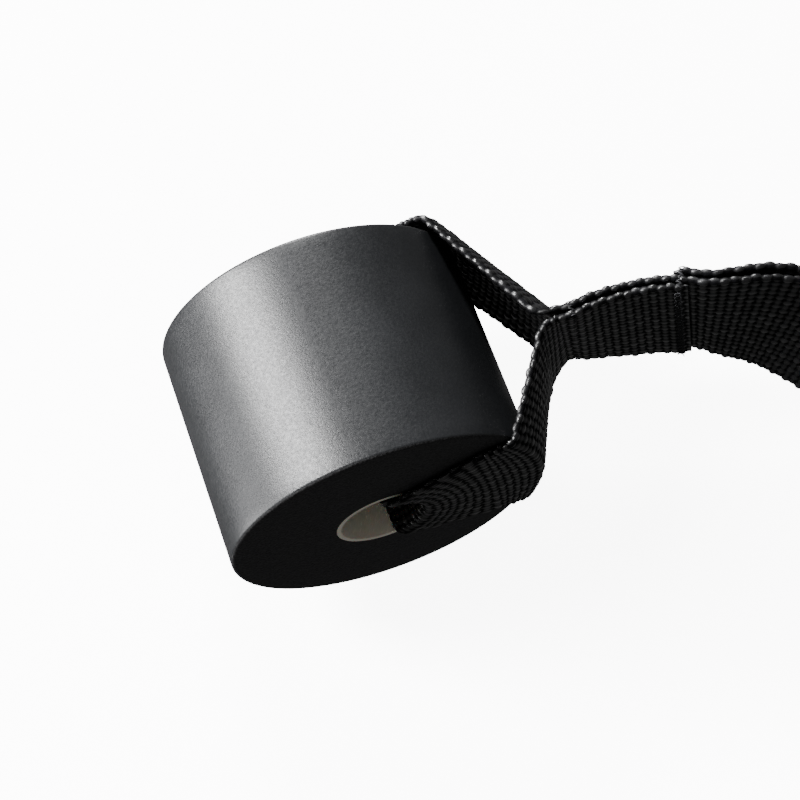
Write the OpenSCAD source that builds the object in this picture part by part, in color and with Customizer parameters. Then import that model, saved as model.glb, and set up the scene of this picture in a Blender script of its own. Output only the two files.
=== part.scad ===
// Door anchor of a shoulder pulley: a foam roll on a webbing strap.
// Millimetres. The origin is the centre of the roll, +Y runs along the roll,
// +X runs along the strap towards its end loop and +Z is up.
// The whole part lies on the plane z = -roll_d / 2.

/* [Foam roll] */
// Outside diameter of the foam roll
roll_d = 50; // [49:0.5:51]
// Length of the foam roll
roll_l = 38; // [37:0.5:39]
// Rounding of the roll's cut edges
edge_r = 0.6; // [0.3:0.1:1]

/* [Core tube] */
// Inside diameter of the tube that lines the roll
tube_id = 14.6; // [14:0.2:15.4]
// Wall thickness of the tube
tube_wall = 0.8; // [0.6:0.1:1.2]

/* [Webbing] */
// Width of the webbing
web_w = 25; // [24:0.5:25]
// Thickness of the webbing
web_t = 1.3; // [1:0.1:1.3]
// Half of the angle that the webbing covers inside the tube
curl = 88; // [70:1:95]
// Distance from the roll's axis at which the webbing lies flat on an end face
flat_at = 18; // [16:0.5:19]
// Radius of the webbing's bend at the mouth of the tube
mouth_r = 1.2; // [1:0.1:1.5]
// how far the strap stands off the far rim
slack = 1.4; // [0:0.2:3]

/* [Sewing] */
// Distance from the roll's axis to the bar tack at the junction
tack_1_at = 38.4; // [38:0.1:39]
// Width of a bar tack along the strap
tack_w = 1.6; // [1.2:0.1:2]
// Height of a bar tack's thread above the webbing
tack_t = 0.35; // [0.2:0.05:0.5]

/* [End loop] */
// Distance from the roll's axis to the centre of the loop's end fold
loop_at = 240; // [236:1:260]
// Radius of the end fold, at the middle of the webbing
loop_r = 4.4; // [4:0.1:5]

/* [Hidden] */

gap = 0.2;
pitch = 1.5;
half = web_w / 2;
off = gap + web_t / 2;
bore_r = tube_id / 2 - off;
face_y = roll_l / 2 + off;
rim_r = edge_r + off;
floor_z = -roll_d / 2;
low_z = floor_z + 0.7;
seg = 12;
across = [for (j = [0:seg]) 2 * j / seg - 1];

// Stations of the main layer: [x, y, z, lean], top edge leaning to +Y when positive.
stations = [
    [36.5, -0.4, 0, -8],
    [tack_1_at, -0.8, 0, -7],
    [41, -1.2, 0, -4],
    [43, -1.5, 0, -3],
    [46, -2.2, 0, -1],
    [50, -3.1, 0, 0],
    [54, -4.6, 0, 1],
    [56, -5.9, 0, 1.5],
    [58, -7.2, 0, 2],
    [61, -8.7, -0.3, 5],
    [65, -10.4, -0.9, 9],
    [69, -12.6, -2, 13],
    [73, -15, -3.6, 19],
    [78, -17.8, -6, 29],
    [84, -20.6, -9.5, 43],
    [91, -23.4, -13.6, 58],
    [99, -25.6, -17.5, 73],
    [108, -27.2, -20.9, 84],
    [113, -27.8, -22.3, 88],
    [117, -28, low_z + pitch, 90],
    [119, -28, low_z + pitch, 90],
    [122, -28, low_z + pitch, 90],
    [128, -28, low_z + pitch, 90],
    [145, -28, low_z + pitch, 90],
    [165, -28, low_z + pitch, 90],
    [190, -28, low_z + pitch, 90],
    [203, -28, low_z + 2.1, 90],
    [213, -28, low_z + 4, 90],
    [223, -28, low_z + 6.5, 90],
    [232, -28, low_z + 8.3, 90],
    [loop_at, -28, low_z + 2 * loop_r, 90],
    [loop_at + 2, -28, low_z + 2 * loop_r, 90],
];
// How far the two layers of the tail part where they twist.
function spread(i) = i < 9 || i > 17 ? 1 : i == 9 || i == 17 ? 1.2 : 1.4;

// Stations where a section begins or ends.
i_lap = 0;
i_tack = 1;
i_swing = 2;
i_join = 6;
i_cut = 7;
i_tail = 8;
i_lift = 19;
i_loop = 30;

// Rows across the webbing, from its lower selvedge to its upper one.
function unit(v) = v / norm(v);
function p3(s) = [s[0], s[1], s[2]];
function bore_row(y) =
    [for (w = across) [bore_r * cos(curl * w), y, bore_r * sin(curl * w)]];
function fan(w, u) = let (
        p = [bore_r * cos(curl * w), bore_r * sin(curl * w)],
        q = [flat_at, half * w],
        m = p + mouth_r * unit(q - p)
    ) m + (q - m) * u;
function mouth_row(s, b) = [for (w = across) let (
        p = [bore_r * cos(curl * w), bore_r * sin(curl * w)],
        e = p + (fan(w, 0) - p) * (1 - cos(b))
    ) [e[0], s * (face_y - mouth_r * (1 - sin(b))), e[1]]];
function off(s, u) = s > 0 ? slack * u * u * (3 - 2 * u) : 0;
function face_row(s, u) = [for (w = across) let (e = fan(w, u))
    [e[0], s * (face_y + off(s, u)), e[1]]];
function rim_row(s, u, ends) = [for (j = [0:seg]) let (
        z = half * across[j],
        cx = sqrt(roll_d * roll_d / 4 - z * z) - edge_r,
        cy = roll_l / 2 - edge_r + off(s, 1),
        dx = ends[j][0] - cx,
        dy = cy - s * ends[j][1],
        b = u * (atan2(dy, dx) + asin(rim_r / norm([dx, dy])))
    ) [cx + rim_r * sin(b), s * (cy + rim_r * cos(b)), z]];
function mix(a, b, u) = [for (j = [0:seg]) a[j] * (1 - u) + b[j] * u];
function leg_row(s, u, ends) = mix(rim_row(s, 1, ends), ends, u);
function bow_row(top, bottom, turn, bow) = [for (w = across)
    (top + bottom) / 2 + (top - bottom) / 2 * w
        + [cos(turn), sin(turn), 0] * bow * (1 - w * w)];
function lane_row(i, side) = let (
        t = unit(p3(stations[i + 1]) - p3(stations[max(i - 1, 0)])),
        l = unit([-t[1], t[0], 0]),
        u = cross(t, l),
        a = stations[i][3],
        wide = u * cos(a) + l * sin(a),
        front = u * sin(a) - l * cos(a)
    ) [for (w = across) p3(stations[i]) + wide * half * w + front * side * spread(i)];
function lane(a, b, side) = [for (i = [a:b]) lane_row(i, side)];
function fold_row(a) = [for (w = across)
    [loop_at + loop_r * cos(a), -28 + half * w, low_z + loop_r + loop_r * sin(a)]];

// A smooth run of rows through the given ones, n steps from one to the next.
function cubic(a, b, c, d, t) = 0.5 * (2 * b + (c - a) * t
    + (2 * a - 5 * b + 4 * c - d) * t * t + (3 * b - a - 3 * c + d) * t * t * t);
function smooth(r, n) = let (k = len(r) - 1) [
    for (i = [0:k - 1], m = [0:n - 1]) [for (j = [0:seg]) cubic(
        i == 0 ? 2 * r[0][j] - r[1][j] : r[i - 1][j],
        r[i][j],
        r[i + 1][j],
        i == k - 1 ? 2 * r[k][j] - r[k - 1][j] : r[i + 2][j],
        m / n)],
    r[k]
];
function backwards(r) = [for (i = [len(r) - 1:-1:0]) r[i]];

// Where the two legs end, and how each one turns into the doubled strap.
near_end = bow_row([32.4, -4.6, 12.5], [31, -5.2, -12.5], -20, 0.3);
near_bend = [
    bow_row([33.4, -3.8, 12.5], [32, -3.7, -12.5], -60, 0.3),
    bow_row([34.8, -3.6, 12.5], [33.8, -1.8, -12.5], -90, 0.1),
];
far_end = bow_row([31.1, 1.5, 12.5], [33.2, 2, -12.5], 40, 3.6);
far_bend = [
    bow_row([32.3, -1.1, 12.5], [34.9, 1.5, -12.5], 44, 3.2),
    bow_row([34.9, -2, 12.5], [36.2, 1.4, -12.5], 50, 1.3),
];

// The whole strap as one list of rows, from its front cut end round to the back one.
near_rows = smooth(concat([near_end], near_bend, lane(0, i_cut, pitch)), 2);
roll_rows = concat(
    [for (u = [0.75, 0.5, 0.25]) leg_row(-1, u, near_end)],
    [for (u = [1, 0.75, 0.5, 0.25, 0]) rim_row(-1, u, near_end)],
    [for (u = [1, 0.5, 0]) face_row(-1, u)],
    [for (b = [60, 30]) mouth_row(-1, b)],
    [for (y = [-1, 0, 1]) bore_row(y * (face_y - mouth_r))],
    [for (b = [30, 60]) mouth_row(1, b)],
    [for (u = [0, 0.5, 1]) face_row(1, u)],
    [for (u = [0, 0.25, 0.5, 0.75, 1]) rim_row(1, u, far_end)],
    [for (u = [0.25, 0.5, 0.75]) leg_row(1, u, far_end)]
);
far_rows = smooth(concat([far_end], far_bend, lane(i_tack, i_loop, 0)), 2);
fold_rows = [for (a = [70:-20:-90]) fold_row(a)];
low_rows = [for (x = [200, 160]) [for (w = across) [x, -28 + half * w, low_z]]];
back_rows = smooth(lane(i_join, i_lift + 1, -pitch), 2);
route = concat(backwards(near_rows), roll_rows, far_rows, fold_rows, low_rows,
    backwards(back_rows));
last = len(route) - 1;
n_near = len(near_rows) - 1;
n_far = n_near + len(roll_rows) + 1;
n_fold = n_far + len(far_rows) - 1;
n_low = n_fold + len(fold_rows);
n_back = n_low + len(low_rows) + 1;
function near_at(s) = n_near - 6 - 2 * s;
function far_at(s) = n_far + 4 + 2 * s;

// Direction out of the webbing's face at one point of the route.
function out(i, j) = unit(cross(
    route[min(i + 1, last)][j] - route[max(i - 1, 0)][j],
    route[i][min(j + 1, seg)] - route[i][max(j - 1, 0)]));
function skin(i, h) = [for (j = [0:seg]) route[i][j] + out(i, j) * h];

// Webbing between two rows of the route.
module web(a, b) {
    h = web_t / 2;
    m = 2 * (seg + 1);
    k = b - a;
    polyhedron(
        points = [for (i = [a:b], p = concat(skin(i, h), backwards(skin(i, -h)))) p],
        faces = concat(
            [for (i = [0:k - 1], j = [0:m - 1], f = [0, 1]) let (
                    p = i * m + j,
                    q = i * m + (j + 1) % m
                ) f == 0 ? [p, q, p + m] : [q, q + m, p + m]],
            [for (j = [0:seg - 1], f = [0, 1]) f == 0
                ? [j, m - 1 - j, j + 1]
                : [j + 1, m - 1 - j, m - 2 - j]],
            [for (j = [0:seg - 1], f = [0, 1]) f == 0
                ? [k * m + j, k * m + j + 1, k * m + m - 1 - j]
                : [k * m + j + 1, k * m + m - 2 - j, k * m + m - 1 - j]]
        ),
        convexity = 6
    );
}

// Thread wrapped round the layers at one row, between two distances from the row.
function ahead(i) = unit(route[i + 1][seg / 2] - route[i - 1][seg / 2]);
function wrap(i, low, high, side, along) = let (
        wide = unit(route[i][seg] - route[i][0])
    ) concat(
        [for (j = [0:seg]) route[i][j] + out(i, j) * high + wide * side * across[j]
            + ahead(i) * along],
        [for (j = [seg:-1:0]) route[i][j] + out(i, j) * low + wide * side * across[j]
            + ahead(i) * along]
    );
module bar_tack(i, low, high) {
    c = 0.04;
    g = c + tack_t;
    m = 2 * (seg + 1);
    loops = [
        wrap(i, low - g, high + g, g, -tack_w / 2),
        wrap(i, low - g, high + g, g, tack_w / 2),
        wrap(i, low - c, high + c, c, tack_w / 2),
        wrap(i, low - c, high + c, c, -tack_w / 2)
    ];
    polyhedron(
        points = [for (r = loops, p = r) p],
        faces = [for (l = [0:3], j = [0:m - 1], f = [0, 1]) let (
                p = l * m + j,
                q = l * m + (j + 1) % m,
                r = ((l + 1) % 4) * m + j,
                s = ((l + 1) % 4) * m + (j + 1) % m
            ) f == 0 ? [p, q, r] : [q, s, r]],
        convexity = 6
    );
}

// Profile of the foam: a square-cut roll with its edges broken by a small round.
module foam_roll() {
    inner = tube_id / 2 + tube_wall;
    x = roll_d / 2 - edge_r;
    y = roll_l / 2 - edge_r;
    color("#26272a") rotate([90, 0, 0]) rotate_extrude($fn = 128) polygon(concat(
        [[inner, -roll_l / 2]],
        [for (a = [-90:15:0]) [x + edge_r * cos(a), -y + edge_r * sin(a)]],
        [for (a = [0:15:90]) [x + edge_r * cos(a), y + edge_r * sin(a)]],
        [[inner, roll_l / 2]]
    ));
}

module core_tube() {
    color("ivory") rotate([90, 0, 0]) difference() {
        cylinder(h = roll_l, d = tube_id + 2 * tube_wall, center = true, $fn = 128);
        cylinder(h = roll_l + 2, d = tube_id, center = true, $fn = 128);
    }
}

module strap(a, b) {
    color("#1b1c1e") web(a, b);
}

module bore_web() { strap(n_near + 14, n_near + 16); }
module near_face_web() { strap(n_near + 8, n_near + 14); }
module near_rim_web() { strap(n_near + 4, n_near + 8); }
module near_leg_web() { strap(n_near, n_near + 4); }
module near_turn_web() { strap(near_at(i_lap), n_near); }
module near_lap_web() { strap(near_at(i_swing), near_at(i_lap)); }
module far_face_web() { strap(n_near + 16, n_near + 22); }
module far_rim_web() { strap(n_near + 22, n_near + 26); }
module far_leg_web() { strap(n_near + 26, n_far); }
module far_turn_web() { strap(n_far, far_at(i_tack) - 1); }
module far_lap_web() { strap(far_at(i_tack) - 1, far_at(i_swing)); }
module lap_front_web() { strap(0, near_at(i_swing + 1)); }
module lap_back_web() { strap(far_at(i_swing + 1), far_at(i_tail)); }
module tail_front_web() { strap(far_at(i_tail), far_at(i_lift)); }
module tail_back_web() { strap(n_back + 2, last); }
module loop_top_web() { strap(far_at(i_lift + 1), n_fold); }
module loop_end_web() { strap(n_fold, n_low); }
module loop_bottom_web() { strap(n_low, n_back); }

module junction_tack() {
    color("#2c2d30") bar_tack(far_at(i_tack), -web_t / 2, pitch + web_t / 2);
}

module end_tack() {
    color("#2c2d30") bar_tack(far_at(i_join) + 1, -pitch - web_t / 2, pitch + web_t / 2);
}

foam_roll();
core_tube();
bore_web();
near_face_web();
near_rim_web();
near_leg_web();
near_turn_web();
near_lap_web();
far_face_web();
far_rim_web();
far_leg_web();
far_turn_web();
far_lap_web();
junction_tack();
lap_front_web();
lap_back_web();
end_tack();
tail_front_web();
tail_back_web();
loop_top_web();
loop_end_web();
loop_bottom_web();
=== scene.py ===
import bpy
import math
import numpy as np
from mathutils import Matrix, Vector


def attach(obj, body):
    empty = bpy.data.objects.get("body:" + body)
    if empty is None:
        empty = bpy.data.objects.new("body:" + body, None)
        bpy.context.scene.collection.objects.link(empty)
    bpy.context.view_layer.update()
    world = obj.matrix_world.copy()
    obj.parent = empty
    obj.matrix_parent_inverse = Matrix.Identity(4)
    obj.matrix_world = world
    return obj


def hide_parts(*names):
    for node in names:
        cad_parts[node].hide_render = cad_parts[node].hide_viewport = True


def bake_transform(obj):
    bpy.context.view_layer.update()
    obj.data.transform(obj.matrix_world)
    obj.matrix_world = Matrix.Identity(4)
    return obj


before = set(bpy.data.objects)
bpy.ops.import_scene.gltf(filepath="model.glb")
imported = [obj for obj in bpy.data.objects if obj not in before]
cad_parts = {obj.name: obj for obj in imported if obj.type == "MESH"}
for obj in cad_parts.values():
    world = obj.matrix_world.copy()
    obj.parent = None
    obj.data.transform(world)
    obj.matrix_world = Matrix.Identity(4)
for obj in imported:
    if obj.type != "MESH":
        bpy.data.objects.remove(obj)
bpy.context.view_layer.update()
mm = 0.001
print("frame loaded")

# Camera: above the near end of the roll, turned so that the strap runs to the right.
cameraView = {
    "place": (15.45, -122.23, 281.84),  # mm
    "lookAt": (8.4, 0.0, -3.4),  # mm
    "roll": 24.56,  # degrees
    "lens": 87.13,  # mm on a 36 mm sensor
}


def addCamera():
    data = bpy.data.cameras.new("camera")
    data.lens = cameraView["lens"]
    data.sensor_width = 36
    data.clip_start = 0.01
    data.clip_end = 10
    camera = bpy.data.objects.new("camera", data)
    bpy.context.collection.objects.link(camera)
    place = Vector(cameraView["place"]) * mm
    ahead = (Vector(cameraView["lookAt"]) * mm - place).normalized()
    side = ahead.cross(Vector((0, 0, 1))).normalized()
    up = side.cross(ahead)
    a = math.radians(cameraView["roll"])
    right = side * math.cos(a) - up * math.sin(a)
    top = side * math.sin(a) + up * math.cos(a)
    turn = Matrix((right, top, -ahead)).transposed().to_4x4()
    camera.matrix_world = Matrix.Translation(place) @ turn
    bpy.context.scene.camera = camera


addCamera()


# Materials.
def linear(code):
    values = [int(code[i:i + 2], 16) / 255 for i in (1, 3, 5)]
    return tuple(v / 12.92 if v <= 0.04045 else ((v + 0.055) / 1.055) ** 2.4 for v in values) + (1,)


def node(material, kind, settings={}, links={}):
    n = material.node_tree.nodes.new(kind)
    for key, value in settings.items():
        if isinstance(key, int) or key in n.inputs:
            n.inputs[key].default_value = value
        else:
            setattr(n, key, value)
    for key, source in links.items():
        material.node_tree.links.new(source, n.inputs[key])
    return n


def newMaterial(name):
    material = bpy.data.materials.new(name)
    material.use_nodes = True
    material.node_tree.nodes.clear()
    return material


def finishMaterial(material, shader):
    out = node(material, "ShaderNodeOutputMaterial")
    material.node_tree.links.new(shader.outputs[0], out.inputs["Surface"])
    return material


# Closed-cell EVA foam, moulded skin: satin, with the fine orange-peel of the cells under it.
def foamSkin():
    m = newMaterial("evaFoamMouldedSkin")
    place = node(m, "ShaderNodeTexCoord")
    cells = node(m, "ShaderNodeTexNoise", {"Scale": 1 / (0.45 * mm), "Detail": 3.0, "Roughness": 0.6},
        {"Vector": place.outputs["Object"]})
    grain = node(m, "ShaderNodeTexNoise", {"Scale": 1 / (0.16 * mm), "Detail": 2.0},
        {"Vector": place.outputs["Object"]})
    broad = node(m, "ShaderNodeTexNoise", {"Scale": 1 / (9 * mm), "Detail": 2.0},
        {"Vector": place.outputs["Object"]})
    tone = node(m, "ShaderNodeValToRGB", {}, {"Fac": broad.outputs["Fac"]})
    tone.color_ramp.elements[0].color = linear("#141517")
    tone.color_ramp.elements[0].position = 0.35
    tone.color_ramp.elements[1].color = linear("#1a1b1d")
    tone.color_ramp.elements[1].position = 0.7
    rough = node(m, "ShaderNodeMapRange", {"From Min": 0.3, "From Max": 0.7, "To Min": 0.33, "To Max": 0.47},
        {"Value": cells.outputs["Fac"]})
    height = node(m, "ShaderNodeMath", {"operation": "MULTIPLY_ADD", 1: 0.4},
        {0: grain.outputs["Fac"], 2: cells.outputs["Fac"]})
    bump = node(m, "ShaderNodeBump", {"Strength": 0.55, "Distance": 0.05 * mm},
        {"Height": height.outputs[0]})
    skin = node(m, "ShaderNodeBsdfPrincipled", {"IOR": 1.5, "Specular IOR Level": 0.45},
        {"Base Color": tone.outputs["Color"], "Roughness": rough.outputs[0], "Normal": bump.outputs[0]})
    return finishMaterial(m, skin)


# The same foam where it was cut: open cells, matt, darker in the pores.
def foamCut():
    m = newMaterial("evaFoamKnifeCut")
    place = node(m, "ShaderNodeTexCoord")
    pores = node(m, "ShaderNodeTexVoronoi", {"Scale": 1 / (0.5 * mm)}, {"Vector": place.outputs["Object"]})
    grain = node(m, "ShaderNodeTexNoise", {"Scale": 1 / (0.3 * mm), "Detail": 4.0},
        {"Vector": place.outputs["Object"]})
    tone = node(m, "ShaderNodeValToRGB", {}, {"Fac": grain.outputs["Fac"]})
    tone.color_ramp.elements[0].color = linear("#1e1e1f")
    tone.color_ramp.elements[0].position = 0.38
    tone.color_ramp.elements[1].color = linear("#323233")
    tone.color_ramp.elements[1].position = 0.66
    bump = node(m, "ShaderNodeBump", {"Strength": 0.6, "Distance": 0.12 * mm},
        {"Height": pores.outputs["Distance"]})
    cut = node(m, "ShaderNodeBsdfPrincipled", {"IOR": 1.5, "Roughness": 0.9, "Specular IOR Level": 0.3},
        {"Base Color": tone.outputs["Color"], "Normal": bump.outputs[0]})
    return finishMaterial(m, cut)


# Extruded polyethylene tube, natural: ivory, a little light passes into it.
def tubePlastic():
    m = newMaterial("extrudedPolyethylene")
    place = node(m, "ShaderNodeTexCoord")
    cloud = node(m, "ShaderNodeTexNoise", {"Scale": 1 / (4 * mm), "Detail": 3.0},
        {"Vector": place.outputs["Object"]})
    tone = node(m, "ShaderNodeValToRGB", {}, {"Fac": cloud.outputs["Fac"]})
    tone.color_ramp.elements[0].color = linear("#e4deca")
    tone.color_ramp.elements[1].color = linear("#f2ecdd")
    grain = node(m, "ShaderNodeTexNoise", {"Scale": 1 / (0.3 * mm), "Detail": 2.0},
        {"Vector": place.outputs["Object"]})
    bump = node(m, "ShaderNodeBump", {"Strength": 0.2, "Distance": 0.03 * mm},
        {"Height": grain.outputs["Fac"]})
    tube = node(m, "ShaderNodeBsdfPrincipled",
        {"IOR": 1.51, "Roughness": 0.45, "Subsurface Weight": 0.3, "Subsurface Scale": 0.6 * mm},
        {"Base Color": tone.outputs["Color"], "Normal": bump.outputs[0]})
    return finishMaterial(m, tube)


# Woven polypropylene multifilament, spun-dyed black: the specular level follows each yarn's crown height, a
# painted glint on the crowns and painted shade in the gaps between yarns.
def wovenBlack(name, dark, light, rough):
    m = newMaterial(name)
    place = node(m, "ShaderNodeUVMap", {"uv_map": "weave"})
    yarns = node(m, "ShaderNodeTexNoise", {"Scale": 1 / 1.3, "Detail": 1.0}, {"Vector": place.outputs[0]})
    fibre = node(m, "ShaderNodeTexNoise", {"Scale": 1 / 0.22, "Detail": 2.0}, {"Vector": place.outputs[0]})
    tone = node(m, "ShaderNodeValToRGB", {}, {"Fac": yarns.outputs["Fac"]})
    tone.color_ramp.elements[0].color = linear(dark)
    tone.color_ramp.elements[0].position = 0.35
    tone.color_ramp.elements[1].color = linear(light)
    tone.color_ramp.elements[1].position = 0.65
    gloss = node(m, "ShaderNodeMapRange",
        {"From Min": 0.35, "From Max": 0.65, "To Min": rough - 0.08, "To Max": rough + 0.1},
        {"Value": yarns.outputs["Fac"]})
    bump = node(m, "ShaderNodeBump", {"Strength": 0.3, "Distance": 0.05 * mm},
        {"Height": fibre.outputs["Fac"]})
    crown = node(m, "ShaderNodeAttribute", {"attribute_name": "crown"})
    worn = node(m, "ShaderNodeMapRange", {"From Min": 0.4, "From Max": 0.95, "To Min": 0.7},
        {"Value": crown.outputs["Fac"], "To Max": gloss.outputs[0]})
    # specular level from the crown attribute: painted glint on the crowns, painted shade in the gaps between
    # yarns
    paintedGlintAndGapShade = node(m, "ShaderNodeMapRange", {"From Min": 0.4, "From Max": 1.0, "To Min": 0.04, "To Max": 0.95},
        {"Value": crown.outputs["Fac"]})
    weave = node(m, "ShaderNodeBsdfPrincipled", {"IOR": 1.49},
        {"Base Color": tone.outputs["Color"], "Roughness": worn.outputs[0], "Normal": bump.outputs[0],
            "Specular IOR Level": paintedGlintAndGapShade.outputs[0]})
    return finishMaterial(m, weave)


skinMaterial = foamSkin()
cutMaterial = foamCut()
tubeMaterial = tubePlastic()
webMaterial = wovenBlack("wovenPolypropyleneBlack", "#060607", "#101012", 0.27)
threadMaterial = wovenBlack("bondedThreadBlack", "#1c1c1e", "#2a2a2d", 0.5)
print("materials made")


# Small helpers for edit mode.
def clearSelection():
    bpy.ops.object.select_all(action="DESELECT")


def spinProfile(name, points, steps):
    # A profile in the XY plane, x out from the roll's axis, spun once round that axis.
    clearSelection()
    bpy.ops.mesh.primitive_circle_add(vertices=len(points), radius=0.01, location=(0, 0, 0))
    piece = bpy.context.object
    piece.name = name
    for vertex, point in zip(piece.data.vertices, points):
        vertex.co = Vector((point[0], point[1], 0)) * mm
    bpy.ops.object.mode_set(mode="EDIT")
    bpy.ops.mesh.select_all(action="SELECT")
    bpy.ops.mesh.spin(steps=steps, angle=2 * math.pi, center=(0, 0, 0), axis=(0, 1, 0))
    bpy.ops.mesh.select_all(action="SELECT")
    bpy.ops.mesh.remove_doubles(threshold=0.00001)
    bpy.ops.mesh.normals_make_consistent(inside=False)
    bpy.ops.object.mode_set(mode="OBJECT")
    return piece


def arc(cx, cy, r, start, end, steps):
    angles = [math.radians(start + (end - start) * i / steps) for i in range(steps + 1)]
    return [(cx + r * math.cos(a), cy + r * math.sin(a)) for a in angles]


def softEdges(piece, angle):
    clearSelection()
    piece.select_set(True)
    bpy.context.view_layer.objects.active = piece
    bpy.ops.object.shade_smooth_by_angle(angle=math.radians(angle))


# Foam roll: a cut length of foam tube.
foamRoll = {"radius": 25.0, "length": 38.0, "hole": 8.1, "edge": 0.6, "steps": 240}


def makeFoamRoll():
    r, y = foamRoll["radius"], foamRoll["length"] / 2
    e = foamRoll["edge"]
    profile = [(foamRoll["hole"], -y)] + [(foamRoll["hole"] + i, -y) for i in (2, 6, 10, 14)]
    profile += arc(r - e, -y + e, e, -90, 0, 6)
    profile += [(r, -y + e + (2 * y - 2 * e) * i / 24) for i in range(1, 24)]
    profile += arc(r - e, y - e, e, 0, 90, 6)
    profile += [(foamRoll["hole"] + i, y) for i in (14, 10, 6, 2)] + [(foamRoll["hole"], y)]
    piece = spinProfile("foamRoll", profile, foamRoll["steps"])
    mesh = piece.data
    mesh.materials.append(skinMaterial)
    mesh.materials.append(cutMaterial)
    for face in mesh.polygons:
        if abs(face.normal.y) > 0.6 or math.hypot(face.center.x, face.center.z) < 0.009:
            face.material_index = 1
    softEdges(piece, 50)
    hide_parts("foam_roll")
    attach(piece, "roller")
    return piece


makeFoamRoll()

# Core tube: flush with the foam, its rims broken by the saw.
coreTube = {"inner": 7.3, "outer": 8.1, "length": 38.0, "edge": 0.15, "steps": 160}


def makeCoreTube():
    a, b, y, e = coreTube["inner"], coreTube["outer"], coreTube["length"] / 2, coreTube["edge"]
    profile = arc(a + e, -y + e, e, 180, 270, 3) + arc(b - e, -y + e, e, 270, 360, 3)
    profile += arc(b - e, y - e, e, 0, 90, 3) + arc(a + e, y - e, e, 90, 180, 3)
    piece = spinProfile("coreTube", profile, coreTube["steps"])
    piece.data.materials.append(tubeMaterial)
    softEdges(piece, 40)
    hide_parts("core_tube")
    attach(piece, "roller")
    return piece


makeCoreTube()
print("roll made")

# Webbing: its route through the tube, round the roll and out to the end loop.
webbing = {
    "width": 25.0,
    "thick": 1.3,
    "gap": 0.2,  # between the strap and the foam
    "pitch": 1.5,  # from one layer of strap to the next
    "curl": 88.0,  # half of the angle covered inside the tube
    "flatAt": 18.0,  # distance from the roll's axis at which the strap lies flat on the end face
    "mouthBend": 1.2,  # radius of its bend at the tube's mouth
    "slack": 1.4,  # how far the strap stands off the far rim
    "pick": 1.3,  # spacing of the weft along the strap
    "warp": 1.2,  # spacing of the warp across it
    "relief": 0.36,  # height of a yarn's crown
    "fused": 1.8,  # length of a cut end that is melted thin
    "grid": 0.25,  # size of the mesh
}
halfWide = webbing["width"] / 2
offset = webbing["gap"] + webbing["thick"] / 2
boreR = coreTube["inner"] - offset
faceY = foamRoll["length"] / 2 + offset
rimR = foamRoll["edge"] + offset
laidY = -28.0  # middle of the part that lies flat
lowZ = -foamRoll["radius"] + 0.7
topZ = lowZ + webbing["pitch"]
loopAt, loopR = 240.0, 4.4  # the end loop's place and its radius
across = np.linspace(-1, 1, 41)

# Where the doubled strap runs: x, y, z and its lean in degrees.
stations = [
    (36.5, -0.4, 0, -8), (38.4, -0.8, 0, -7), (41, -1.2, 0, -4), (43, -1.5, 0, -3),
    (46, -2.2, 0, -1), (50, -3.1, 0, 0), (54, -4.6, 0, 1), (56, -5.9, 0, 1.5), (58, -7.2, 0, 2),
    (61, -8.7, -0.3, 5), (65, -10.4, -0.9, 9), (69, -12.6, -2, 13), (73, -15, -3.6, 19),
    (78, -17.8, -6, 29), (84, -20.6, -9.5, 43), (91, -23.4, -13.6, 58), (99, -25.6, -17.5, 73),
    (108, -27.2, -20.9, 84), (113, -27.8, -22.3, 88), (117, laidY, topZ, 90), (119, laidY, topZ, 90),
    (122, laidY, topZ, 90), (128, laidY, topZ, 90), (145, laidY, topZ, 90), (165, laidY, topZ, 90),
    (190, laidY, topZ, 90), (203, laidY, lowZ + 2.1, 90), (213, laidY, lowZ + 4, 90),
    (223, laidY, lowZ + 6.5, 90), (232, laidY, lowZ + 8.3, 90), (loopAt, laidY, lowZ + 2 * loopR, 90),
    (loopAt + 2, laidY, lowZ + 2 * loopR, 90),
]


def unit(v):
    return v / np.linalg.norm(v, axis=-1, keepdims=True)


def borePoint():
    a = np.radians(webbing["curl"] * across)
    return np.stack([boreR * np.cos(a), boreR * np.sin(a)], 1)


def mouthRow(side, bend):
    p = borePoint()
    q = np.stack([np.full_like(across, webbing["flatAt"]), halfWide * across], 1)
    b, r = math.radians(bend), webbing["mouthBend"]
    e = p + unit(q - p) * r * (1 - math.cos(b))
    return np.stack([e[:, 0], np.full_like(across, side * (faceY - r * (1 - math.sin(b)))), e[:, 1]], 1)


def boreRow(y):
    p = borePoint()
    return np.stack([p[:, 0], np.full_like(across, y), p[:, 1]], 1)


def standOff(side, u):
    return webbing["slack"] * u * u * (3 - 2 * u) if side > 0 else 0


def faceRow(side, u):
    p = borePoint()
    q = np.stack([np.full_like(across, webbing["flatAt"]), halfWide * across], 1)
    m = p + unit(q - p) * webbing["mouthBend"]
    e = m + (q - m) * u
    return np.stack([e[:, 0], np.full_like(across, side * (faceY + standOff(side, u))), e[:, 1]], 1)


def rimRow(side, u, ends):
    z = halfWide * across
    cx = np.sqrt(foamRoll["radius"] ** 2 - z * z) - foamRoll["edge"]
    cy = foamRoll["length"] / 2 - foamRoll["edge"] + standOff(side, 1)
    dx, dy = ends[:, 0] - cx, cy - side * ends[:, 1]
    b = u * (np.arctan2(dy, dx) + np.arcsin(rimR / np.hypot(dx, dy)))
    return np.stack([cx + rimR * np.sin(b), side * (cy + rimR * np.cos(b)), z], 1)


def legRow(side, u, ends):
    return rimRow(side, 1, ends) * (1 - u) + ends * u


def bowRow(top, bottom, turn, bow):
    top, bottom = np.array(top, float), np.array(bottom, float)
    out = np.array([math.cos(math.radians(turn)), math.sin(math.radians(turn)), 0])
    w = across[:, None]
    return (top + bottom) / 2 + (top - bottom) / 2 * w + out * bow * (1 - w * w)


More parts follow.
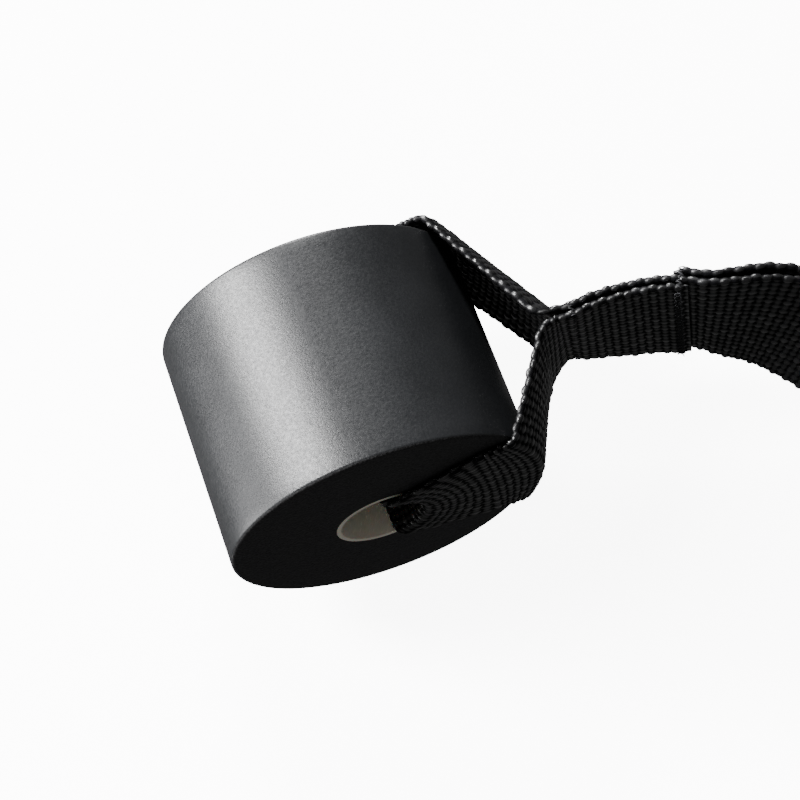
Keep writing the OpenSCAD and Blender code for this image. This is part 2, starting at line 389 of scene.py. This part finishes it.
def laneRow(i, side):
    p = [np.array(s[:3], float) for s in stations]
    t = unit(p[i + 1] - p[max(i - 1, 0)])
    left = unit(np.array([-t[1], t[0], 0]))
    up = np.cross(t, left)
    a = math.radians(stations[i][3])
    wide = up * math.cos(a) + left * math.sin(a)
    front = up * math.sin(a) - left * math.cos(a)
    spread = 1 if i < 9 or i > 17 else 1.2 if i in (9, 17) else 1.4  # the layers part in the twist
    return p[i] + wide * halfWide * across[:, None] + front * side * spread


def lane(first, last, side):
    return [laneRow(i, side) for i in range(first, last + 1)]


def smoothRun(rows, steps):
    rows = [2 * rows[0] - rows[1]] + rows + [2 * rows[-1] - rows[-2]]
    run = []
    for a, b, c, d in zip(rows, rows[1:], rows[2:], rows[3:]):
        for k in range(steps):
            t = k / steps
            run.append(0.5 * (2 * b + (c - a) * t + (2 * a - 5 * b + 4 * c - d) * t * t
                + (3 * b - a - 3 * c + d) * t ** 3))
    return run + [rows[-2]]


def strapRoute():
    pitch = webbing["pitch"]
    nearEnd = bowRow((32.4, -4.6, 12.5), (31, -5.2, -12.5), -20, 0.3)
    nearBend = [bowRow((33.4, -3.8, 12.5), (32, -3.7, -12.5), -60, 0.3),
        bowRow((34.8, -3.6, 12.5), (33.8, -1.8, -12.5), -90, 0.1)]
    farEnd = bowRow((31.1, 1.5, 12.5), (33.2, 2, -12.5), 40, 3.6)
    farBend = [bowRow((32.3, -1.1, 12.5), (34.9, 1.5, -12.5), 44, 3.2),
        bowRow((34.9, -2, 12.5), (36.2, 1.4, -12.5), 50, 1.3)]
    near = smoothRun([nearEnd] + nearBend + lane(0, 7, pitch), 10)
    far = smoothRun([farEnd] + farBend + lane(1, 30, 0), 10)
    back = smoothRun(lane(6, 20, -pitch), 10)
    parts = {
        "lapFront": near[::-1],
        "roll": [legRow(-1, u, nearEnd) for u in np.linspace(0.95, 0.05, 19)]
        + [rimRow(-1, u, nearEnd) for u in np.linspace(1, 0, 9)]
        + [faceRow(-1, u) for u in np.linspace(0.95, 0.05, 12)]
        + [mouthRow(-1, b) for b in np.linspace(90, 10, 9)]
        + [boreRow(y) for y in np.linspace(-1, 1, 24) * (faceY - webbing["mouthBend"])]
        + [mouthRow(1, b) for b in np.linspace(10, 90, 9)]
        + [faceRow(1, u) for u in np.linspace(0.05, 0.95, 12)]
        + [rimRow(1, u, farEnd) for u in np.linspace(0, 1, 9)]
        + [legRow(1, u, farEnd) for u in np.linspace(0.05, 0.95, 19)],
        "main": far,
        "fold": [np.stack([np.full_like(across, loopAt + loopR * math.cos(a)), laidY + halfWide * across,
            np.full_like(across, lowZ + loopR + loopR * math.sin(a))], 1)
            for a in np.radians(np.linspace(85, -90, 36))],
        "low": [np.stack([np.full_like(across, x), laidY + halfWide * across, np.full_like(across, lowZ)], 1)
            for x in np.linspace(239, 120, 120)],
        "back": back[::-1],
    }
    rows, marks = [], {}
    for name, run in parts.items():
        marks[name] = len(rows)
        rows += run
    return np.array(rows), marks


def strapGrid():
    # Rows at equal steps along the strap's middle, with their distance along it in mm.
    rows, marks = strapRoute()
    step = np.linalg.norm(np.diff(rows[:, 20], axis=0), axis=1)
    keep = np.concatenate([[True], step > 1e-4])
    along = np.concatenate([[0], np.cumsum(step)])
    places = {name: along[i] for name, i in marks.items()}
    rows, along = rows[keep], along[keep]
    count = int(round(along[-1] / webbing["grid"]))
    at = np.linspace(0, along[-1], count + 1)
    i = np.clip(np.searchsorted(along, at, side="right") - 1, 0, len(along) - 2)
    f = ((at - along[i]) / (along[i + 1] - along[i]))[:, None, None]
    return rows[i] * (1 - f) + rows[i + 1] * f, at, places


def yarnHeight(s, v, side, jitter):
    # Plain weave: warp crowns in a brick pattern with a lower weft crown between them. Each crown is
    # half of an ellipsoid, its half length and half width a share of the yarns' spacing.
    pick, warp = webbing["pick"], webbing["warp"]
    i = np.floor(v / warp + 0.5)
    shift = i if side > 0 else i + 1
    k = shift + 2 * np.floor((s / pick - shift) / 2 + 0.5)
    ds, dv = (s - k * pick) / (0.62 * pick), (v - i * warp) / (0.56 * warp)
    size = jitter[(k.astype(int) * 7 + i.astype(int) * 13) % len(jitter)]
    warpCrown = size * np.sqrt(np.clip(1 - ds * ds - dv * dv, 0, 1))
    k2 = shift + 1 + 2 * np.floor((s / pick - shift - 1) / 2 + 0.5)
    ds2, dv2 = (s - k2 * pick) / (0.5 * pick), (v - i * warp) / (0.8 * warp)
    weftCrown = 0.74 * np.sqrt(np.clip(1 - ds2 * ds2 - dv2 * dv2, 0, 1))
    return np.maximum(warpCrown, weftCrown)


class Strap:
    def __init__(self):
        rows, self.along, self.places = strapGrid()
        thick, relief = webbing["thick"] / 2, webbing["relief"]
        flat = halfWide - thick
        count = int(2 * flat / webbing["grid"])
        v = np.linspace(-flat, flat, count + 1)
        w = (v / halfWide + 1) / 2 * (len(across) - 1)
        j = np.clip(w.astype(int), 0, len(across) - 2)
        f = (w - j)[None, :, None]
        middle = rows[:, j] * (1 - f) + rows[:, j + 1] * f
        ds = np.gradient(middle, axis=0)
        dv = unit(np.gradient(middle, axis=1))
        out = unit(np.cross(ds, dv))
        s = self.along[:, None]
        jitter = np.random.default_rng(5).uniform(0.78, 1.12, 211)  # no two crowns quite the same height
        fused = np.clip(np.minimum(s, self.along[-1] - s) / webbing["fused"], 0, 1)
        fused = 0.35 + 0.65 * fused * fused * (3 - 2 * fused)  # share of the thickness left there
        lean = np.where(s < webbing["fused"], 1, -1) * (1 - fused) * thick  # towards the middle layer
        middle = middle + out * lean[..., None]
        core = thick - relief
        edge = np.radians(np.linspace(90, -90, 11))[1:-1]
        rings, heights = [], []
        for side in (1, -1):
            crown = yarnHeight(s, v[None, :], side, jitter)
            heights.append(crown if side > 0 else crown[:, ::-1])
            h = (core + relief * crown) * fused
            face = middle + out * (side * h)[..., None]
            rings.append(face if side > 0 else face[:, ::-1])
            last = -1 if side > 0 else 0  # the selvedge that follows this face
            turn = edge if side > 0 else -edge
            for a in turn:
                k = np.floor(s / webbing["pick"] + 0.5)
                up = np.where(k.astype(int) % 2 == 0, 1, -1)
                ds1 = (s - k * webbing["pick"]) / (0.56 * webbing["pick"])
                lift = np.sqrt(np.clip(1 - ds1 * ds1, 0, 1)) * (0.62 + 0.38 * np.cos(a - up * 0.6) ** 3)
                r = (core + relief * 1.3 * lift * jitter[(k.astype(int) * 11) % len(jitter)]) * fused
                n = out[:, last] * math.sin(a) + dv[:, last] * (math.cos(a) * side)
                rings.append((middle[:, last] + n * r)[:, None])
                heights.append(lift * (0.5 + 0.5 * np.cos(a - up * 0.6) ** 2))
        self.points = np.concatenate(rings, axis=1)
        self.heights = np.concatenate(heights, axis=1)
        girth = np.linalg.norm(np.diff(self.points[0], axis=0), axis=1)
        self.girth = np.concatenate([[0], np.cumsum(girth)])
        self.columns = count + 1
        self.middle, self.out, self.wide, self.v = middle, out, dv, v

    def row(self, place):
        return int(np.searchsorted(self.along, place))

    def piece(self, name, first, last):
        a, b = self.row(first), self.row(last)
        points = self.points[a:b + 1]
        rows, m = points.shape[:2]
        i, j = np.meshgrid(np.arange(rows - 1), np.arange(m), indexing="ij")
        p, q = i * m + j, i * m + (j + 1) % m
        quads = np.stack([p, p + m, q + m, q], -1).reshape(-1, 4)
        # end walls: the upper face's columns joined to the lower face's
        n = self.columns
        edge = (m - 2 * n) // 2
        up = np.arange(n - 1)
        low = m - edge - 1 - np.arange(n)
        wall = np.stack([up, up + 1, low[1:], low[:-1]], -1)
        lastRow = (rows - 1) * m
        caps = [wall, wall[:, ::-1] + lastRow]
        for start, y0 in ((n, n + edge), (m - edge, 0)):  # each selvedge, towards its tip
            x0 = start - 1
            for k in range(edge // 2):
                x, y = start + k, start + edge - 1 - k
                cap = np.array([[x0, x, y, y0]])
                caps += [cap, cap[:, ::-1] + lastRow]
                x0, y0 = x, y
        quads = np.concatenate([quads] + caps)
        mesh = bpy.data.meshes.new(name)
        mesh.vertices.add(rows * m)
        mesh.vertices.foreach_set("co", (points * mm).astype(np.float32).ravel())
        mesh.loops.add(len(quads) * 4)
        mesh.loops.foreach_set("vertex_index", quads.astype(np.int32).ravel())
        mesh.polygons.add(len(quads))
        mesh.polygons.foreach_set("loop_start", np.arange(len(quads), dtype=np.int32) * 4)
        mesh.update(calc_edges=True)
        mesh.polygons.foreach_set("use_smooth", np.ones(len(quads), bool))
        uv = mesh.uv_layers.new(name="weave")
        flat = np.stack([np.repeat(self.along[a:b + 1], m), np.tile(self.girth, rows)], -1)
        uv.data.foreach_set("uv", flat[quads.ravel()].astype(np.float32).ravel())
        # yarn crown height; the webbing material also turns it into the painted glint on crowns and painted
        # shade in the gaps
        crown = mesh.attributes.new("crown", "FLOAT", "POINT")
        crown.data.foreach_set("value", self.heights[a:b + 1].astype(np.float32).ravel())
        mesh.materials.append(webMaterial)
        mesh.validate()
        piece = bpy.data.objects.new(name, mesh)
        bpy.context.collection.objects.link(piece)
        return piece

    def length(self, first, last):
        return (self.along[self.row(last)] - self.along[self.row(first)]) * mm


strap = Strap()
print("strap length %.0f mm" % strap.along[-1])


def placeAtX(x, after, before):
    # Distance along the strap at which its middle passes x, between two distances.
    a, b = strap.row(after), strap.row(before)
    xs = strap.middle[a:b, strap.columns // 2, 0]
    return strap.along[a + int(np.argmin(np.abs(xs - x)))]


def placeAtY(y):
    # The same for y, inside the tube.
    a, b = strap.row(marks["roll"]), strap.row(marks["main"])
    inside = strap.middle[a:b, strap.columns // 2]
    off = np.where(inside[:, 0] < 8, np.abs(inside[:, 1] - y), 1e6)
    return strap.along[a + int(np.argmin(off))]


marks = strap.places
total = strap.along[-1]
cuts = {
    "bore": placeAtY(0),
    "tackTwo": placeAtX(55, marks["main"], marks["fold"]),
    "twist": placeAtX(98, marks["main"], marks["fold"]),
    "flat": placeAtX(150, marks["main"], marks["fold"]),
    "backFlat": placeAtX(150, marks["fold"], total),
    "backTwist": placeAtX(98, marks["fold"], total),
}


def addWeb(name, first, last, body, other, nodes):
    piece = strap.piece(name, first, last)
    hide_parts(*nodes)
    if other:
        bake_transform(piece)
    else:
        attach(piece, body)
    return piece


addWeb("lapFrontWeb", 0, cuts["bore"], "yoke", "tail",
    ["lap_front_web", "near_lap_web", "near_turn_web", "near_leg_web", "near_rim_web", "near_face_web",
        "bore_web"])
addWeb("mainWeb", cuts["bore"], cuts["tackTwo"], "yoke", "tail",
    ["far_face_web", "far_rim_web", "far_leg_web", "far_turn_web", "far_lap_web", "lap_back_web"])
addWeb("tailFrontWeb", cuts["tackTwo"], cuts["twist"], "tail", None, ["tail_front_web"])
addWeb("tailLiftWeb", cuts["twist"], cuts["flat"], "tail", "loop", [])
addWeb("loopTopWeb", cuts["flat"], marks["low"], "loop", None,
    ["loop_top_web", "loop_end_web"])
addWeb("loopBottomWeb", marks["low"], cuts["backFlat"], "loop", None, ["loop_bottom_web"])
addWeb("backLiftWeb", cuts["backFlat"], cuts["backTwist"], "tail", "loop", [])
addWeb("tailBackWeb", cuts["backTwist"], total, "tail", None, ["tail_back_web"])
print("webbing made")

# Bar tacks: rows of short zigzag stitches across the strap, over all its layers.
barTack = {
    "thread": 0.2,  # thickness of the thread
    "stitch": 1.1,  # length of a stitch along the strap
    "spacing": 0.62,  # from one stitch to the next
    "slant": 0.25,  # how far a stitch leans
    "dip": 0.32,  # how deep its ends go into the webbing
    "sunk": 0.13,  # how deep its middle lies under the yarns' crowns
    "edge": 0.12,  # the same for the stitches round the selvedges
    "inset": 0.8,  # from the selvedge to the first stitch
    "pressed": 0.15,  # how much the end tack presses the layers together
}


def makeStitch():
    # One stitch lying along X: a short thread whose ends dip into the webbing.
    clearSelection()
    bpy.ops.mesh.primitive_cylinder_add(vertices=6, radius=barTack["thread"] / 2, depth=barTack["stitch"],
        location=(0, 0, 0), rotation=(0, math.pi / 2, 0))
    stitch = bpy.context.object
    bpy.ops.object.transform_apply(location=True, rotation=True, scale=True)
    bpy.ops.object.mode_set(mode="EDIT")
    bpy.ops.mesh.select_all(action="SELECT")
    for x in (-0.2, 0.2):
        bpy.ops.mesh.select_all(action="SELECT")
        bpy.ops.mesh.bisect(plane_co=(x, 0, 0), plane_no=(1, 0, 0))
    bpy.ops.object.mode_set(mode="OBJECT")
    points = np.array([v.co for v in stitch.data.vertices])
    faces = [list(f.vertices) for f in stitch.data.polygons]
    bpy.data.objects.remove(stitch)
    points[:, 2] -= barTack["dip"] * (np.abs(points[:, 0]) / (barTack["stitch"] / 2)) ** 3
    return points, faces


def addTack(name, cadNode, body, place, front, back):
    # front and back are distances from the strap's middle row to the outer faces.
    points, faces = makeStitch()
    row = strap.row(place)
    middle, out, wide = strap.middle[row], strap.out[row], strap.wide[row]
    ahead = unit(strap.middle[row + 3, strap.columns // 2] - strap.middle[row - 3, strap.columns // 2])
    allPoints, allFaces = [], []

    def put(at, n, w, lean):
        x = ahead + w * lean
        p = at + points[:, :1] * x + points[:, 1:2] * w + points[:, 2:] * n
        allFaces.extend([[i + len(allPoints) * len(points) for i in f] for f in faces])
        allPoints.append(p)

    reach = halfWide - barTack["inset"]
    v = np.arange(-reach, reach + 0.1, barTack["spacing"])
    for side, far in ((1, front), (-1, -back)):
        for k, x in enumerate(v):
            j = int(np.clip(np.searchsorted(strap.v, x), 0, strap.columns - 1))
            lean = barTack["slant"] * (1 if k % 2 else -1)
            at = middle[j] + wide[j] * (x - strap.v[j])
            put(at + out[j] * (side * (far - barTack["sunk"])), out[j] * side, wide[j], lean)
    for end, j in ((1, -1), (-1, 0)):
        span = np.arange(-back + 0.2, front - 0.1, barTack["spacing"] * 0.6)
        for k, x in enumerate(span):
            at = middle[j] + out[j] * x + wide[j] * end * (halfWide - abs(strap.v[j]) - barTack["edge"])
            put(at, wide[j] * end, out[j], 0.3 * (1 if k % 2 else -1))
    verts = np.concatenate(allPoints) * mm
    mesh = bpy.data.meshes.new(name)
    mesh.from_pydata(verts.tolist(), [], allFaces)
    uv = mesh.uv_layers.new(name="weave")
    co = np.array([verts[l.vertex_index] for l in mesh.loops]) / mm
    uv.data.foreach_set("uv", np.stack([co[:, 0] + co[:, 1], co[:, 2]], -1).astype(np.float32).ravel())
    crown = mesh.attributes.new("crown", "FLOAT", "POINT")
    crown.data.foreach_set("value", np.full(len(verts), 0.6, np.float32))
    mesh.materials.append(threadMaterial)
    mesh.polygons.foreach_set("use_smooth", np.ones(len(mesh.polygons), bool))
    piece = bpy.data.objects.new(name, mesh)
    bpy.context.collection.objects.link(piece)
    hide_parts(cadNode)
    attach(piece, body)
    return piece


layer, face = webbing["pitch"], webbing["thick"] / 2  # from the middle layer to the next, to its face
tackOne = placeAtX(38.4, marks["main"], marks["fold"])
addTack("junctionTack", "junction_tack", "yoke", tackOne, layer + face, face)
addTack("endTack", "end_tack", "tail", cuts["tackTwo"], layer + face - barTack["pressed"],
    layer + face - barTack["pressed"])
print("bar tacks made")

# Stage: a pale floor under the roll, the key light high at the left, a fill at the left and one behind.
stage = {"floor": "#f8f8f8", "size": 3.0, "glow": 9.0}


def addFloor():
    clearSelection()
    z = -foamRoll["radius"] * mm
    bpy.ops.mesh.primitive_plane_add(size=stage["size"], location=(0, 0, z))
    floor = bpy.context.object
    floor.name = "floor"
    m = newMaterial("paintedFloor")
    paint = node(m, "ShaderNodeBsdfPrincipled", {"Base Color": linear(stage["floor"]), "Roughness": 0.9,
        "Emission Color": linear(stage["floor"]), "Emission Strength": stage["glow"]})
    floor.data.materials.append(finishMaterial(m, paint))
    floor.visible_diffuse = False  # white to look at, without lighting the black parts from below
    floor.visible_glossy = False


def addLight(name, place, target, size, power, tint="#ffffff"):
    data = bpy.data.lights.new(name, "AREA")
    data.shape = "RECTANGLE"
    data.size, data.size_y = size
    data.energy = power
    data.color = linear(tint)[:3]
    lamp = bpy.data.objects.new(name, data)
    bpy.context.collection.objects.link(lamp)
    lamp.location = place
    lamp.rotation_euler = (Vector(target) - Vector(place)).to_track_quat("-Z", "Y").to_euler()


addFloor()
addLight("key", (-0.52, 0.36, 0.64), (0, 0, 0), (0.25, 0.6), 36)
addLight("left", (-0.80, 0.10, 0.06), (0, 0, 0), (0.3, 0.5), 7)
addLight("back", (0.16, 0.80, 0.50), (0.03, 0, 0), (0.2, 0.2), 16)
world = bpy.data.worlds.new("studio")
bpy.context.scene.world = world
world.use_nodes = True
world.node_tree.nodes["Background"].inputs["Color"].default_value = linear("#ffffff")
world.node_tree.nodes["Background"].inputs["Strength"].default_value = 0.17
print("stage lit")
